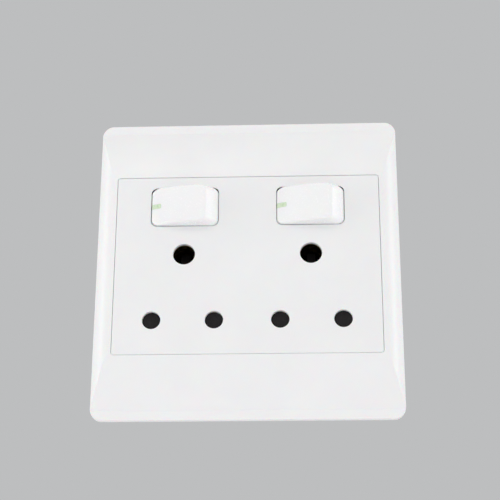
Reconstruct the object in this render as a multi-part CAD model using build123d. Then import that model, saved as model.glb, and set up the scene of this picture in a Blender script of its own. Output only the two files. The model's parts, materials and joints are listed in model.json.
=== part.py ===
from build123d import *
import math
import os

# Double switched wall socket for round three-pin plugs.
# Lengths are in millimetres and angles in degrees.
# Every piece is drawn lying on its back: X to the right, Y up the plate and Z out of the face,
# with Z = 0 on the wall, midway between the fixing slots. on_wall() turns it upright, where +Z is up and the face looks along -Y.

# Plug pins
LINE_PIN_D = 7.06
EARTH_PIN_D = 8.71
LINE_PIN_SPACING = 25.4
EARTH_PIN_RISE = 28.6
LINE_PIN_LENGTH = 20.6
EARTH_PIN_LENGTH = 28.6

# Layout of the face, from the middle of the insert
SOCKET_OFFSET = 26.1
LINE_ROW_DROP = 24.4
ROCKER_RISE = 25.35

# Clip-on cover
COVER_W = 125.5
COVER_H = 130.5
COVER_RISE = 0.6
COVER_CORNER_R = 4.8
FACE_HEIGHT = 7.0
COVER_WALL = 2.0
LIP_W = 4.0
LIP_HEIGHT = 1.9
RAMP_SPAN = 23.0
SIDE_FOOT_ANGLE = 60.0
SIDE_TURN_ANGLE = 45.0
SIDE_TOP_R = 6.0
SIDE_WALL = 1.5
WINDOW_GAP = 0.12
WINDOW_CORNER_R = 1.3
WINDOW_SKIRT = 1.4
HOOK_W = 6.0
HOOK_WALL = 1.6
HOOK_BARB = 0.7
HOOK_BARB_HEIGHT = 0.8
HOOK_RISE = 44.2
CATCH_GAP = 0.1
HOOK_OFFSET = 33.0

# Face moulding, the insert in the cover's window
INSERT_W = 109.2
INSERT_H = 77.7
INSERT_CORNER_R = 1.0
INSERT_INNER_R = 0.5
INSERT_EDGE_R = 0.3
INSERT_WALL = 1.6
FACE_WALL = 1.6
LINE_HOLE_D = 7.5
EARTH_HOLE_D = 9.1
HEAD_NOTCH_W = 9.0
HEAD_NOTCH_HEIGHT = 2.6
GUIDE_RIB_WALL = 1.0
GUIDE_RIB_LENGTH = 14.0
GUIDE_RIB_TOP = 7.5
SKIRT_GAP = 0.2

# Rocker windows
ROCKER_WINDOW_L = 28.3
ROCKER_WINDOW_H = 17.4
ROCKER_WINDOW_R = 2.6
COLLAR_WALL = 1.2
COLLAR_DEPTH = 4.6
COLLAR_FLARE_L = 1.75
COLLAR_FLARE_H = 0.2

# Rockers
ROCKER_R = 15.6
ROCKER_PIVOT_DEPTH = 7.5
ROCKER_TILT = 13.5
RIDGE_ANGLE = 47.8
ROCKER_DOME = 1.1
ROCKER_SKIRT = 2.0
ROCKER_FOOT_W = 17.24
ROCKER_DRAFT = 1.8
ROCKER_CORNER_R = 2.7
ROCKER_EDGE_R = 0.8
ROCKER_WALL = 1.4
ROCKER_RIB = 1.2
ROCKER_RIB_FOOT = 5.0
YOKE_BLOCK_L = 5.2
YOKE_BLOCK_W = 10.2
YOKE_BLOCK_FOOT = 2.2
TRUNNION_D = 3.0
TRUNNION_LENGTH = 1.6
TRUNNION_CLEARANCE = 0.05
STEM_D = 5.4
STEM_DEPTH = 6.0
MARKER_L = 4.1
MARKER_W = 2.1
MARKER_R = 0.5
MARKER_WALL = 0.9
MARKER_DROP = 3.0

# Plungers and their springs
PLUNGER_D = 3.2
PLUNGER_CLEARANCE = 0.1
PLUNGER_TIP_DEPTH = 8.6
PLUNGER_HEAD = 0.5
SPRING_ROOM = 5.5
PLUNGER_WIRE_D = 0.35
PLUNGER_COIL_D = 2.5
PLUNGER_TURNS = 5

# Rocking contacts
ARM_PIVOT_DEPTH = 12.5
ARM_RATIO = 0.6
ARM_WALL = 1.0
ARM_W = 5.0
ARM_DISH_ANGLE = 50.0
ARM_STOP_L = 8.0
ARM_OVERHANG = 1.6
ARM_KNIFE_R = 0.8
KNIFE_CLEARANCE = 0.1
TIP_CLEARANCE = 0.15
CONTACT_REACH = 10.2
RIVET_D = 3.2
RIVET_H = 0.6
CONTACT_GAP = 0.1

# Shutters and their springs
SHUTTER_WALL = 1.3
SHUTTER_FACE_GAP = 0.2
SHUTTER_TRAVEL = 8.1
SHUTTER_LAP = 0.6
SHUTTER_WEB_W = 12.0
SHUTTER_GUIDE_GAP = 0.3
TONGUE_W = 3.6
TONGUE_PIN_GAP = 0.35
TONGUE_DROP = 7.0
TONGUE_WALL = 1.0
TONGUE_POST = 1.6
TONGUE_TUBE_GAP = 0.7
LUG_W = 4.2
LUG_WALL = 2.0
LUG_DROP = 4.9
LUG_BELOW_EARTH = 16.2
SPRING_WIRE_D = 0.5
SPRING_COIL_D = 3.7
SPRING_TURNS = 8
SPRING_SLACK = 0.1
WIRE_SIDES = 6

# Contact tubes
TUBE_WALL = 0.9
TUBE_CLEARANCE = 0.03
TUBE_SEAM = 1.2
LINE_TUBE_LENGTH = 16.0
EARTH_TUBE_LENGTH = 21.0
EARTH_MOUTH_D = 9.4
EARTH_MOUTH_LENGTH = 10.4
TONGUE_SLOT_W = 4.6
TUBE_FACE_GAP = 0.4

# Links, strips and terminals
STRIP_WALL = 1.0
STRIP_W = 3.6
TAB_W = 5.0
TAB_SLOT_GAP = 0.3
LIVE_STRIP_Z = -5.5
NEUTRAL_LINK_Z = -11.6
EARTH_LINK_Z = -14.0
LINK_W = 3.0
LINK_LEG_W = 4.0
NEUTRAL_LINK_OFFSET = 9.0
EARTH_LINK_OFFSET = 10.4
LIVE_LINK_W = 3.5
LIVE_LINK_WALL = 1.2
KNIFE_POST_L = 3.2
CRANK_START = 5.3
STRIP_END = 2.5
CRANK_RUN = 2.0
TERMINAL_SIDE = 8.0
TERMINAL_LENGTH = 11.8
TERMINAL_TOP_Z = -18.7
WIRE_HOLE_D = 4.6
WIRE_HOLE_Z = -25.2
TERMINAL_SCREW_D = 3.9
TERMINAL_SCREW_HEAD_D = 6.0
TERMINAL_SCREW_HEAD_H = 2.2
TERMINAL_SCREW_LIFT = 0.6
TERMINAL_BORE_CLEARANCE = 0.05
TERMINAL_SCREW_TIP_GAP = 0.2
TERMINAL_CHAMFER = 0.5
SLOT_W = 0.9
SLOT_DEPTH = 1.1

# Contact covers, the inner decks behind the shutters
DECK_WALL = 2.0
DECK_JOINT = 0.3
DECK_GAP = 0.5
DECK_EDGE_GAP = 0.5
DECK_HOLE_GAP = 0.15
DECK_RISE = 10.4
TROUGH_W = 4.8
TROUGH_WALL = 1.2
TROUGH_END = 34.1
TROUGH_FLOOR = 1.2
TROUGH_HEADROOM = 0.3

# Rear housing
HOUSING_W = 92.0
HOUSING_H = 74.8
HOUSING_WALL = 1.8
HOUSING_CORNER_R = 3.0
HOUSING_FLOOR_Z = -21.5
FLOOR_WALL = 2.0
FLANGE_W = 2.0
FLANGE_H = 1.0
FLANGE_WALL = 2.0
PEDESTAL_BORE_D = 8.4
PEDESTAL_D = 11.2
CUP_D = 12.0
CUP_GAP = 0.25
CUP_LIP = 3.2
EARTH_CUP_D = 13.8
EARTH_WELL_D = 9.2
EARTH_CUP_LIP = 5.0
WELL_SPARE = 0.9
WELL_WALL = 1.5
CHEEK_WALL = 1.5
CHEEK_L = 6.4
CHEEK_GAP = 0.2
CHEEK_CROWN = 1.9
CHEEK_THROAT = 2.3
BARRIER_WALL = 1.4
BARRIER_W = 14.0
BARRIER_DEPTH = 7.5
BLOCK_GAP = 0.15

# Screws that hold the housing to the face moulding
SCREW_D = 2.8
SCREW_HEAD_D = 5.2
SCREW_RECESS_GAP = 0.2
SCREW_HEAD_H = 1.8
SCREW_LENGTH = 23.5
SCREW_BOSS_D = 5.6
SCREW_HOLE_D = 3.4
SCREW_BOSS_GAP = 0.1
PILOT_CLEARANCE = 0.05
TOP_SCREW_OFFSET = 6.8
TOP_SCREW_RISE = 34.0
SIDE_SCREW_OFFSET = 41.8
SIDE_SCREW_DROP = 8.4
FOOT_SCREW_DROP = 32.9

# Mounting yoke
YOKE_W = 104.0
YOKE_RIM = 3.1
YOKE_WALL = 1.2
YOKE_CORNER_R = 3.0
YOKE_FLANGE_H = 3.0
YOKE_FLANGE_SPAN = 70.0
YOKE_FIT = 0.3
FIXING_PITCH = 84.0
FIXING_SLOT_L = 6.0
FIXING_SLOT_W = 4.2
HOOK_SLOT_GAP = 0.6

# Worked-out levels and places
LINE_Y = -LINE_ROW_DROP
EARTH_Y = LINE_Y + EARTH_PIN_RISE
ROCKER_Y = ROCKER_RISE
FACE_BACK_Z = FACE_HEIGHT - FACE_WALL
PIVOT_Z = FACE_HEIGHT - ROCKER_PIVOT_DEPTH
ARM_Z = PIVOT_Z - ARM_PIVOT_DEPTH
SHUTTER_FRONT_Z = FACE_BACK_Z - SHUTTER_FACE_GAP
SHUTTER_BACK_Z = SHUTTER_FRONT_Z - SHUTTER_WALL
DECK_FRONT_Z = SHUTTER_BACK_Z - DECK_GAP
DECK_BACK_Z = DECK_FRONT_Z - DECK_WALL
LINE_TUBE_TOP_Z = DECK_FRONT_Z
LINE_TUBE_FOOT_Z = LINE_TUBE_TOP_Z - LINE_TUBE_LENGTH
EARTH_TUBE_TOP_Z = FACE_BACK_Z - TUBE_FACE_GAP
EARTH_TUBE_FOOT_Z = EARTH_TUBE_TOP_Z - EARTH_TUBE_LENGTH
EARTH_GRIP_TOP_Z = EARTH_TUBE_TOP_Z - EARTH_MOUTH_LENGTH
HOUSING_RIM_Z = DECK_BACK_Z
FLOOR_TOP_Z = HOUSING_FLOOR_Z + FLOOR_WALL
LINE_WELL_Z = FACE_HEIGHT - LINE_PIN_LENGTH - WELL_SPARE
EARTH_WELL_Z = FACE_HEIGHT - EARTH_PIN_LENGTH - WELL_SPARE
LINE_TUBE_R = LINE_PIN_D / 2 + TUBE_CLEARANCE
EARTH_TUBE_R = EARTH_PIN_D / 2 + TUBE_CLEARANCE
LINE_TUBE_OUTER_R = LINE_TUBE_R + TUBE_WALL
EARTH_TUBE_OUTER_R = EARTH_TUBE_R + TUBE_WALL
TONGUE_TIP_Y = EARTH_Y - EARTH_PIN_D / 2 - TONGUE_PIN_GAP + SHUTTER_TRAVEL
LUG_Y = EARTH_Y - LUG_BELOW_EARTH
SPRING_SEAT_Y = -TROUGH_END
SPRING_AXIS_Z = SHUTTER_BACK_Z - LUG_DROP / 2 - SPRING_SLACK
NEUTRAL_LINK_Y = LINE_Y + NEUTRAL_LINK_OFFSET
EARTH_LINK_Y = EARTH_Y + EARTH_LINK_OFFSET
YOKE_H = 2 * (HOOK_RISE + HOOK_WALL + CATCH_GAP + YOKE_RIM)
SCREW_TIP_Z = HOUSING_FLOOR_Z + SCREW_HEAD_H + SCREW_LENGTH
SOCKET_SIDES = {"left": -SOCKET_OFFSET, "right": SOCKET_OFFSET}
TERMINAL_ROWS = {"live": ROCKER_Y, "earth": EARTH_LINK_Y, "neutral": NEUTRAL_LINK_Y}
SCREW_PLACES = [
    (-TOP_SCREW_OFFSET, TOP_SCREW_RISE),
    (TOP_SCREW_OFFSET, TOP_SCREW_RISE),
    (-SIDE_SCREW_OFFSET, -SIDE_SCREW_DROP),
    (SIDE_SCREW_OFFSET, -SIDE_SCREW_DROP),
    (0, -FOOT_SCREW_DROP),
]


# Shape helpers
def block(x0, x1, y0, y1, z0, z1):
    """A box between its limits."""
    size = Box(x1 - x0, y1 - y0, z1 - z0)
    return Pos((x0 + x1) / 2, (y0 + y1) / 2, (z0 + z1) / 2) * size


def disc(x, y, diameter, z0, z1):
    """A round bar along Z."""
    return Pos(x, y, (z0 + z1) / 2) * Cylinder(diameter / 2, z1 - z0)


def round_block(width, height, radius, z0, z1):
    """A slab with rounded corners, centred on the Z axis."""
    outline = Pos(0, 0, z0) * RectangleRounded(width, height, radius)
    return extrude(outline, z1 - z0)


def across(profile, width):
    """A closed outline in X and Z, extruded to both sides along Y."""
    face = Plane.XZ * make_face(profile)
    return extrude(face, width / 2, both=True)


def along(profile, x0, x1):
    """A closed outline in Y and Z, extruded along X from x0 to x1."""
    face = Plane.YZ.offset(x0) * make_face(profile)
    return extrude(face, x1 - x0)


def coil(mean_d, wire_d, length, turns):
    """A compression spring along Z that starts at Z = 0."""
    rise = length - wire_d
    path = Pos(0, 0, wire_d / 2) * Helix(rise / turns, rise, mean_d / 2)
    wire = Plane(path @ 0, z_dir=path % 0) * RegularPolygon(wire_d / 2, WIRE_SIDES)
    return sweep(wire, path)


def on_wall(piece):
    """Turns a piece from the bench to the wall."""
    return Rot(X=90) * piece


# Cover
def ramp_form(lower):
    """The cover's section from top to bottom: flat lips, convex ramps and the flat middle."""
    edge = COVER_H / 2
    crease = edge - LIP_W
    brow = crease - RAMP_SPAN
    lip = LIP_HEIGHT - lower
    top = FACE_HEIGHT - lower
    foot = -COVER_WALL
    outline = Polyline((-crease, lip), (-edge, lip), (-edge, foot), (edge, foot), (edge, lip), (crease, lip))
    outline += TangentArc((brow, top), (crease, lip), tangent=(1, 0))
    outline += Line((brow, top), (-brow, top))
    outline += TangentArc((-brow, top), (-crease, lip), tangent=(-1, 0))
    return along(outline, -COVER_W / 2, COVER_W / 2)


def side_form(inset, lower):
    """The right half of the cover's section from side to side: a foot and two arcs up to the face."""
    foot_angle = math.radians(SIDE_FOOT_ANGLE)
    turn_angle = math.radians(SIDE_TURN_ANGLE)
    upper_h = SIDE_TOP_R * (1 - math.cos(turn_angle))
    lower_h = FACE_HEIGHT - LIP_HEIGHT - upper_h
    lower_r = lower_h / (math.cos(turn_angle) - math.cos(foot_angle))
    lower_w = lower_r * (math.sin(foot_angle) - math.sin(turn_angle))
    upper_w = SIDE_TOP_R * math.sin(turn_angle)
    edge = COVER_W / 2 - inset
    bend = edge - lower_w
    brow = bend - upper_w
    lip = LIP_HEIGHT - lower
    shoulder = lip + lower_h
    top = FACE_HEIGHT - lower
    foot = -COVER_WALL
    outline = Polyline((brow, top), (0, top), (0, foot), (edge, foot), (edge, lip))
    outline += TangentArc((brow, top), (bend, shoulder), tangent=(1, 0))
    outline += TangentArc(
        (bend, shoulder), (edge, lip), tangent=(math.cos(turn_angle), -math.sin(turn_angle))
    )
    return across(outline, COVER_H)


def cover_hook(side, x):
    """A snap hook that reaches through the yoke and grips behind its rail."""
    near = side * HOOK_RISE
    far = near + side * HOOK_WALL
    tip = far + side * HOOK_BARB
    foot = -HOOK_BARB_HEIGHT - CATCH_GAP
    root = FACE_HEIGHT - COVER_WALL
    stalk = block(x - HOOK_W / 2, x + HOOK_W / 2, min(near, far), max(near, far), foot, root)
    barb = Polyline((far, foot), (far, -CATCH_GAP), (tip, -CATCH_GAP), (far, foot))
    return stalk + along(barb, x - HOOK_W / 2, x + HOOK_W / 2)


def cover_frame():
    """The clip-on surround with its wide ramps, window, skirt and hooks."""
    outer = ramp_form(0) & side_form(0, 0)
    outer = outer & round_block(COVER_W, COVER_H, COVER_CORNER_R, 0, FACE_HEIGHT)
    half = outer - (ramp_form(COVER_WALL) & side_form(SIDE_WALL, COVER_WALL))
    shell = half + mirror(half, about=Plane.YZ)
    window_w = INSERT_W + 2 * WINDOW_GAP
    window_h = INSERT_H + 2 * WINDOW_GAP
    skirt_w = window_w + 2 * WINDOW_SKIRT
    skirt_h = window_h + 2 * WINDOW_SKIRT
    skirt_r = WINDOW_CORNER_R + WINDOW_SKIRT
    skirt_foot = YOKE_WALL + SKIRT_GAP
    skirt = round_block(skirt_w, skirt_h, skirt_r, skirt_foot, FACE_HEIGHT - COVER_WALL)
    cover = Pos(0, COVER_RISE, 0) * shell + skirt
    cover -= round_block(window_w, window_h, WINDOW_CORNER_R, -COVER_WALL, 2 * FACE_HEIGHT)
    for side in (-1, 1):
        for x in (-HOOK_OFFSET, HOOK_OFFSET):
            cover += cover_hook(side, x)
    return cover


# Face moulding
def window_form(x, grow):
    """The rocker's window, which flares behind the face so that the rocker's ends can swing."""
    mouth_l = ROCKER_WINDOW_L + 2 * grow
    mouth_h = ROCKER_WINDOW_H + 2 * grow
    mouth = RectangleRounded(mouth_l, mouth_h, ROCKER_WINDOW_R + grow)
    back = RectangleRounded(
        mouth_l + 2 * COLLAR_FLARE_L, mouth_h + 2 * COLLAR_FLARE_H, ROCKER_WINDOW_R + grow
    )
    front_z = FACE_HEIGHT
    return loft([Pos(x, ROCKER_Y, front_z) * mouth, Pos(x, ROCKER_Y, front_z - COLLAR_DEPTH) * back])


def guide_ribs(x):
    """Two ribs behind the face that guide the shutter's web."""
    ribs = Part()
    inner = SHUTTER_WEB_W / 2 + SHUTTER_GUIDE_GAP
    top = EARTH_Y - GUIDE_RIB_TOP
    for side in (-1, 1):
        near = x + side * inner
        far = near + side * GUIDE_RIB_WALL
        ribs += block(min(near, far), max(near, far), top - GUIDE_RIB_LENGTH, top, SHUTTER_BACK_Z, FACE_BACK_Z)
    return ribs


def face_moulding():
    """The insert: pin holes, rocker windows with their collars, screw bosses and shutter guides."""
    foot = YOKE_WALL + SKIRT_GAP
    body = round_block(INSERT_W, INSERT_H, INSERT_CORNER_R, foot, FACE_HEIGHT)
    body = fillet(body.faces().sort_by(Axis.Z)[-1].edges(), INSERT_EDGE_R)
    inner_w = INSERT_W - 2 * INSERT_WALL
    inner_h = INSERT_H - 2 * INSERT_WALL
    body -= round_block(inner_w, inner_h, INSERT_INNER_R, 0, FACE_BACK_Z)
    for x, y in SCREW_PLACES:
        body += disc(x, y, SCREW_BOSS_D, HOUSING_RIM_Z + SCREW_BOSS_GAP, FACE_BACK_Z)
    for x in SOCKET_SIDES.values():
        body += window_form(x, COLLAR_WALL) - block(
            x - ROCKER_WINDOW_L, x + ROCKER_WINDOW_L, -COVER_H, COVER_H, FACE_BACK_Z, 2 * FACE_HEIGHT
        )
        body += guide_ribs(x)
    for x in SOCKET_SIDES.values():
        body -= window_form(x, 0)
        body -= disc(x, EARTH_Y, EARTH_HOLE_D, 0, 2 * FACE_HEIGHT)
        for side in (-1, 1):
            body -= disc(x + side * LINE_PIN_SPACING / 2, LINE_Y, LINE_HOLE_D, 0, 2 * FACE_HEIGHT)
    for x, y in SCREW_PLACES:
        body -= disc(x, y, SCREW_D + 2 * PILOT_CLEARANCE, 0, SCREW_TIP_Z + SCREW_BOSS_GAP)
    for side in (-1, 1):
        edge = side * INSERT_H / 2
        low = min(edge, edge - side * INSERT_WALL)
        body -= block(
            -HEAD_NOTCH_W / 2, HEAD_NOTCH_W / 2, low, low + INSERT_WALL, foot, foot + HEAD_NOTCH_HEIGHT
        )
    return body


# Rockers
def ridge_point(inset):
    """Where the domed top meets the round end, on the right."""
    height = ROCKER_R * math.cos(math.radians(RIDGE_ANGLE)) - inset
    return math.sqrt((ROCKER_R - inset) ** 2 - height**2), height


def rocker_form(inset, foot):
    """The rocker's outside, or its inside when inset, about its pivot and level."""
    radius = ROCKER_R - inset
    ridge_x, ridge_z = ridge_point(inset)
    foot_x = math.sqrt(radius**2 - foot**2)
    mid_angle = (math.atan2(ridge_z, ridge_x) + math.atan2(foot, foot_x)) / 2
    mid_x = radius * math.cos(mid_angle)
    mid_z = radius * math.sin(mid_angle)
    outline = ThreePointArc((-ridge_x, ridge_z), (0, ridge_z + ROCKER_DOME), (ridge_x, ridge_z))
    outline += ThreePointArc((ridge_x, ridge_z), (mid_x, mid_z), (foot_x, foot))
    outline += Line((foot_x, foot), (-foot_x, foot))
    outline += ThreePointArc((-foot_x, foot), (-mid_x, mid_z), (-ridge_x, ridge_z))
    slope = math.tan(math.radians(ROCKER_DRAFT))
    foot_w = ROCKER_FOOT_W / 2 - inset + (ROCKER_SKIRT - foot) * slope
    head_w = ROCKER_FOOT_W / 2 - inset + (ROCKER_SKIRT - ROCKER_R) * slope
    sides = Polyline(
        (-foot_w, foot), (foot_w, foot), (head_w, ROCKER_R), (-head_w, ROCKER_R), (-foot_w, foot)
    )
    return across(outline, ROCKER_FOOT_W + ROCKER_R) & along(sides, -ROCKER_R, ROCKER_R)


def rocker_shell():
    """The rocker's outside with its corners and top edges rounded."""
    form = rocker_form(0, ROCKER_SKIRT)
    ridge_x, ridge_z = ridge_point(0)
    corners = [
        edge
        for edge in form.edges()
        if abs((edge @ 0.5).X) > ridge_x + ROCKER_EDGE_R
        and abs((edge @ 0.5).Y) > ROCKER_FOOT_W / 3
        and ROCKER_SKIRT + ROCKER_EDGE_R < (edge @ 0.5).Z < ridge_z
    ]
    form = fillet(corners, ROCKER_CORNER_R)
    return fillet(form.faces().sort_by(Axis.Z)[-1].edges(), ROCKER_EDGE_R)


def rocker_marker():
    """The inlaid marker at the rocker's left end, flush with the top and the end."""
    ridge_x, ridge_z = ridge_point(0)
    skin = rocker_shell() - rocker_form(MARKER_WALL, ROCKER_SKIRT)
    length = ROCKER_R + MARKER_L - ridge_x
    outline = RectangleRounded(length, MARKER_W, MARKER_R)
    place = Pos(length / 2 - ROCKER_R, 0, ridge_z - MARKER_DROP) * outline
    return skin & extrude(place, ROCKER_R)


def rocker():
    """The rocker: a hollow cap, a rib, and a block with trunnions and the plunger's stem."""
    cap = rocker_shell() - rocker_form(ROCKER_WALL, ROCKER_SKIRT / 2)
    core = rocker_form(ROCKER_WALL / 2, -ROCKER_SKIRT)
    half_l = YOKE_BLOCK_L / 2
    half_w = YOKE_BLOCK_W / 2
    cap += core & block(-half_l, half_l, -half_w, half_w, 0, ROCKER_R)
    cap += core & block(-ROCKER_R, ROCKER_R, -ROCKER_RIB / 2, ROCKER_RIB / 2, ROCKER_RIB_FOOT, ROCKER_R)
    cap += block(-half_l, half_l, -half_w, half_w, -YOKE_BLOCK_FOOT, 0)
    cap += disc(0, 0, STEM_D, -STEM_DEPTH, 0)
    trunnion_span = YOKE_BLOCK_W + 2 * TRUNNION_LENGTH
    cap += Rot(X=90) * Cylinder(TRUNNION_D / 2, trunnion_span)
    cap -= disc(0, 0, PLUNGER_D + 2 * PLUNGER_CLEARANCE, -STEM_DEPTH, SPRING_ROOM - PLUNGER_HEAD)
    return cap - rocker_marker()


def plunger():
    """The pin that the rocker drags along the rocking contact, with a ball tip."""
    tip = Pos(0, 0, -PLUNGER_TIP_DEPTH) * Sphere(PLUNGER_D / 2)
    return disc(0, 0, PLUNGER_D, -PLUNGER_TIP_DEPTH, -PLUNGER_HEAD) + tip


def plunger_spring():
    """The spring that pushes the plunger out of the stem."""
    return Pos(0, 0, -PLUNGER_HEAD) * coil(PLUNGER_COIL_D, PLUNGER_WIRE_D, SPRING_ROOM, PLUNGER_TURNS)


def at_rocker(x, piece):
    """Places a piece on the rocker's pivot, tilted with its left end pressed."""
    return Pos(x, ROCKER_Y, PIVOT_Z) * Rot(Y=-ROCKER_TILT) * piece


# Rocking contacts
def tip_path():
    """Radius and centre height of the arc that the plunger's ball follows, seen from the arm."""
    swing = math.radians(ROCKER_TILT)
    arm_swing = swing * ARM_RATIO
    drop = ARM_PIVOT_DEPTH - PLUNGER_TIP_DEPTH * math.cos(swing)
    lean = PLUNGER_TIP_DEPTH * math.sin(swing)
    end_x = lean * math.cos(arm_swing) - drop * math.sin(arm_swing)
    end_z = drop * math.cos(arm_swing) + lean * math.sin(arm_swing)
    low_z = ARM_PIVOT_DEPTH - PLUNGER_TIP_DEPTH
    rise = end_z - low_z
    radius = (end_x**2 + rise**2) / (2 * rise)
    return radius, low_z + radius


def arm_levels():
    """The dish's radius and centre, and the heights of the wing's back and of the rivet's face."""
    path_r, centre_z = tip_path()
    dish_r = path_r + PLUNGER_D / 2 + TIP_CLEARANCE
    wing_top = centre_z - dish_r * math.cos(math.radians(ARM_DISH_ANGLE))
    return dish_r, centre_z, wing_top, wing_top - ARM_WALL - RIVET_H


def rocking_contact():
    """The see-saw contact: a dish for the plunger, a knife edge below it and a contact wing."""
    dish_r, centre_z, wing_top, rivet_z = arm_levels()
    angle = math.radians(ARM_DISH_ANGLE)
    under_r = dish_r + ARM_WALL
    wing_back = wing_top - ARM_WALL
    lip_x = dish_r * math.sin(angle)
    under_x = math.sqrt(under_r**2 - (centre_z - wing_back) ** 2)
    wing_end = CONTACT_REACH + ARM_OVERHANG
    outline = ThreePointArc((-lip_x, wing_top), (0, centre_z - dish_r), (lip_x, wing_top))
    outline += Polyline((lip_x, wing_top), (wing_end, wing_top), (wing_end, wing_back), (under_x, wing_back))
    outline += ThreePointArc((under_x, wing_back), (0, centre_z - under_r), (-under_x, wing_back))
    outline += Polyline(
        (-under_x, wing_back), (-ARM_STOP_L, wing_back), (-ARM_STOP_L, wing_top), (-lip_x, wing_top)
    )
    arm = across(outline, ARM_W)
    knife_top = centre_z - under_r + ARM_WALL / 2
    arm += block(-ARM_KNIFE_R, ARM_KNIFE_R, -ARM_W / 2, ARM_W / 2, 0, knife_top)
    arm += Rot(X=90) * Cylinder(ARM_KNIFE_R, ARM_W)
    arm += disc(CONTACT_REACH, 0, RIVET_D, rivet_z, wing_back)
    return arm


def at_arm(x, piece):
    """Places a rocking contact on its knife post, with its contact wing down."""
    return Pos(x, ROCKER_Y, ARM_Z) * Rot(Y=ROCKER_TILT * ARM_RATIO) * piece


# Shutters
def shutter():
    """The shutter of one socket: a plate over the live and neutral holes and the earth pin's ramp."""
    lap = LINE_HOLE_D / 2 + SHUTTER_LAP
    half_w = LINE_PIN_SPACING / 2 + lap
    pad_low = LINE_Y - lap
    pad_high = LINE_Y + lap
    post_high = EARTH_Y - EARTH_TUBE_OUTER_R - TONGUE_TUBE_GAP
    post_low = post_high - TONGUE_POST
    ramp_foot = SHUTTER_BACK_Z - TONGUE_DROP
    plate = block(-half_w, half_w, pad_low, pad_high, SHUTTER_BACK_Z, SHUTTER_FRONT_Z)
    plate += block(
        -SHUTTER_WEB_W / 2, SHUTTER_WEB_W / 2, pad_high, post_high, SHUTTER_BACK_Z, SHUTTER_FRONT_Z
    )
    ramp = Polyline(
        (post_low, SHUTTER_BACK_Z),
        (post_high, SHUTTER_BACK_Z),
        (TONGUE_TIP_Y, ramp_foot),
        (TONGUE_TIP_Y, ramp_foot - TONGUE_WALL),
        (post_low, ramp_foot - TONGUE_WALL),
        (post_low, SHUTTER_BACK_Z),
    )
    plate += along(ramp, -TONGUE_W / 2, TONGUE_W / 2)
    plate += block(
        -LUG_W / 2, LUG_W / 2, LUG_Y - LUG_WALL, LUG_Y, SHUTTER_BACK_Z - LUG_DROP, SHUTTER_BACK_Z
    )
    return plate


def shutter_spring():
    """The spring that pushes the shutter back up over the holes."""
    length = LUG_Y - LUG_WALL - SPRING_SEAT_Y - 2 * SPRING_SLACK
    spring = Rot(X=-90) * coil(SPRING_COIL_D, SPRING_WIRE_D, length, SPRING_TURNS)
    return Pos(0, SPRING_SEAT_Y + SPRING_SLACK, SPRING_AXIS_Z) * spring


# Contact tubes, strips and links
def line_tube(x):
    """A rolled tube for a live or neutral pin, with its seam at the bottom."""
    tube = disc(x, LINE_Y, 2 * LINE_TUBE_OUTER_R, LINE_TUBE_FOOT_Z, LINE_TUBE_TOP_Z)
    return tube


def line_bore(x):
    """The pin's room in a live or neutral tube, with the seam."""
    bore = disc(x, LINE_Y, 2 * LINE_TUBE_R, LINE_TUBE_FOOT_Z, LINE_TUBE_TOP_Z)
    seam = block(
        x - TUBE_SEAM / 2, x + TUBE_SEAM / 2, LINE_Y - 2 * LINE_TUBE_R, LINE_Y, LINE_TUBE_FOOT_Z, LINE_TUBE_TOP_Z
    )
    return bore + seam


def fixed_contact_place():
    """How far the closed contact sits beside the rocker's pivot, and the height of the strip's top."""
    rivet_z = arm_levels()[3]
    tilt = math.radians(ROCKER_TILT * ARM_RATIO)
    reach = CONTACT_REACH * math.cos(tilt) + rivet_z * math.sin(tilt)
    height = ARM_Z - (CONTACT_REACH + RIVET_D / 2) * math.sin(tilt) + rivet_z * math.cos(tilt)
    return reach, height - CONTACT_GAP - RIVET_H


def live_contact(x):
    """The live tube and the cranked strip that brings the switched live to it."""
    tube_x = x + LINE_PIN_SPACING / 2
    reach, contact_z = fixed_contact_place()
    crank_top = ROCKER_Y - CRANK_START
    crank_foot = crank_top - CRANK_RUN
    strip = Polyline(
        (ROCKER_Y + STRIP_END, contact_z),
        (crank_top, contact_z),
        (crank_foot, LIVE_STRIP_Z),
        (LINE_Y, LIVE_STRIP_Z),
        (LINE_Y, LIVE_STRIP_Z - STRIP_WALL),
        (crank_foot - STRIP_WALL, LIVE_STRIP_Z - STRIP_WALL),
        (crank_top - STRIP_WALL, contact_z - STRIP_WALL),
        (ROCKER_Y + STRIP_END, contact_z - STRIP_WALL),
        (ROCKER_Y + STRIP_END, contact_z),
    )
    piece = line_tube(tube_x) + along(strip, x + reach - STRIP_W / 2, x + reach + STRIP_W / 2)
    piece += disc(x + reach, ROCKER_Y, RIVET_D, contact_z, contact_z + RIVET_H)
    return piece - line_bore(tube_x)


def neutral_contact(x):
    """The neutral tube with a tab that lies on the neutral link."""
    tube_x = x - LINE_PIN_SPACING / 2
    tab = block(
        tube_x - TAB_W / 2,
        tube_x + TAB_W / 2,
        LINE_Y,
        NEUTRAL_LINK_Y + LINK_W / 2,
        NEUTRAL_LINK_Z,
        NEUTRAL_LINK_Z + STRIP_WALL,
    )
    return line_tube(tube_x) + tab - line_bore(tube_x)


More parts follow.
